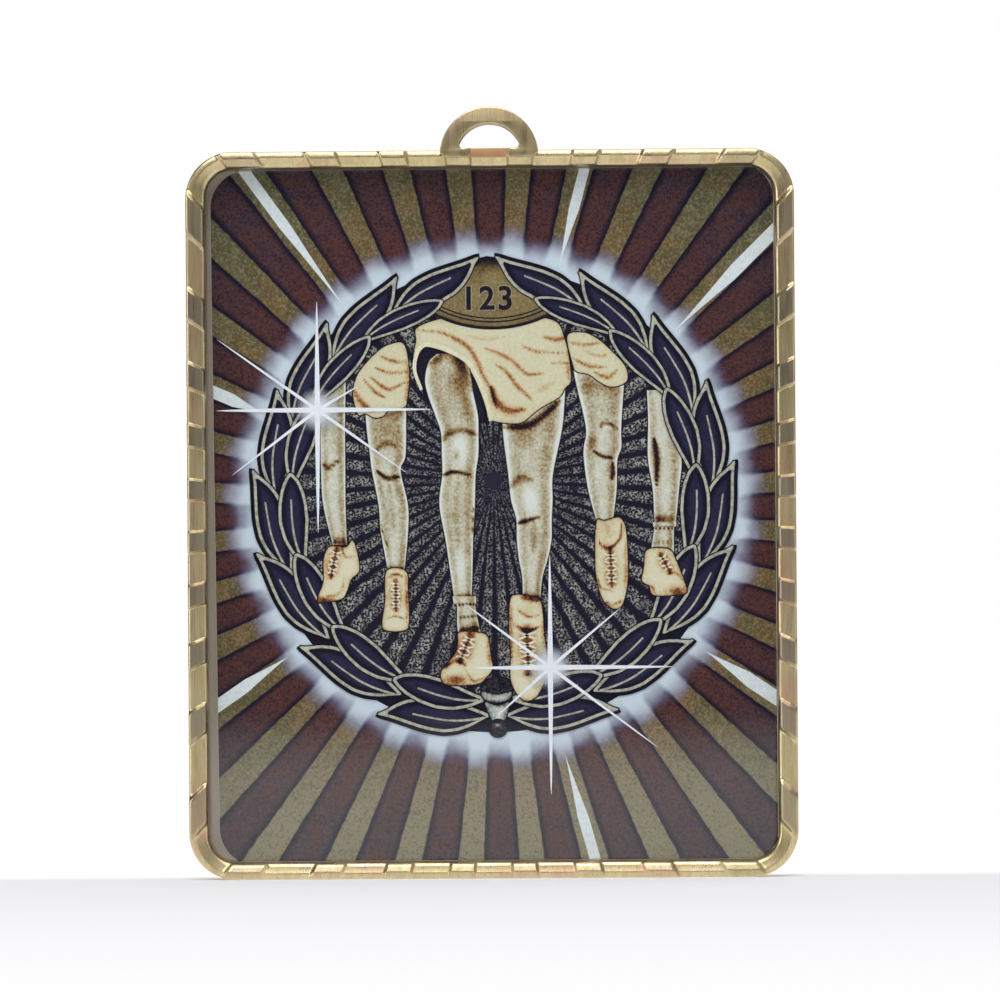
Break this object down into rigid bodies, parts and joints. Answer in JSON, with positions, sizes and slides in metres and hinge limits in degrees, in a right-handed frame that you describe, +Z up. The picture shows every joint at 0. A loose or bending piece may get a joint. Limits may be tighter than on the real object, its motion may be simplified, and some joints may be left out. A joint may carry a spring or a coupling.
{
  "type": "sports finisher medal",
  "caption": "Upright rectangular finisher medal: cast antique-gold frame with radial blocks and a top loop, holding a printed picture behind clear acrylic.",
  "frame": {"origin": "middle of the flat bottom edge that the medal stands on, half way through its thickness", "axes": "+Z up the face towards the hanging loop, -Y out of the picture face, +X to the right as the picture is seen"},
  "size_m": [0.0592, 0.005, 0.075],
  "materials": {
    "antique_gold_casting": "die-cast zinc alloy, antique-gold plated and brushed on its high faces",
    "foam_pad": "double-sided adhesive foam",
    "printed_insert": "full-colour print on a thin plastic sheet",
    "clear_acrylic": "clear cast acrylic, polished faces and edges"
  },
  "bodies": {
    "root": {"cast_frame": "antique_gold_casting", "adhesive_pad": "foam_pad", "printed_insert": "printed_insert", "acrylic_tile": "clear_acrylic"}
  },
  "joints": []
}
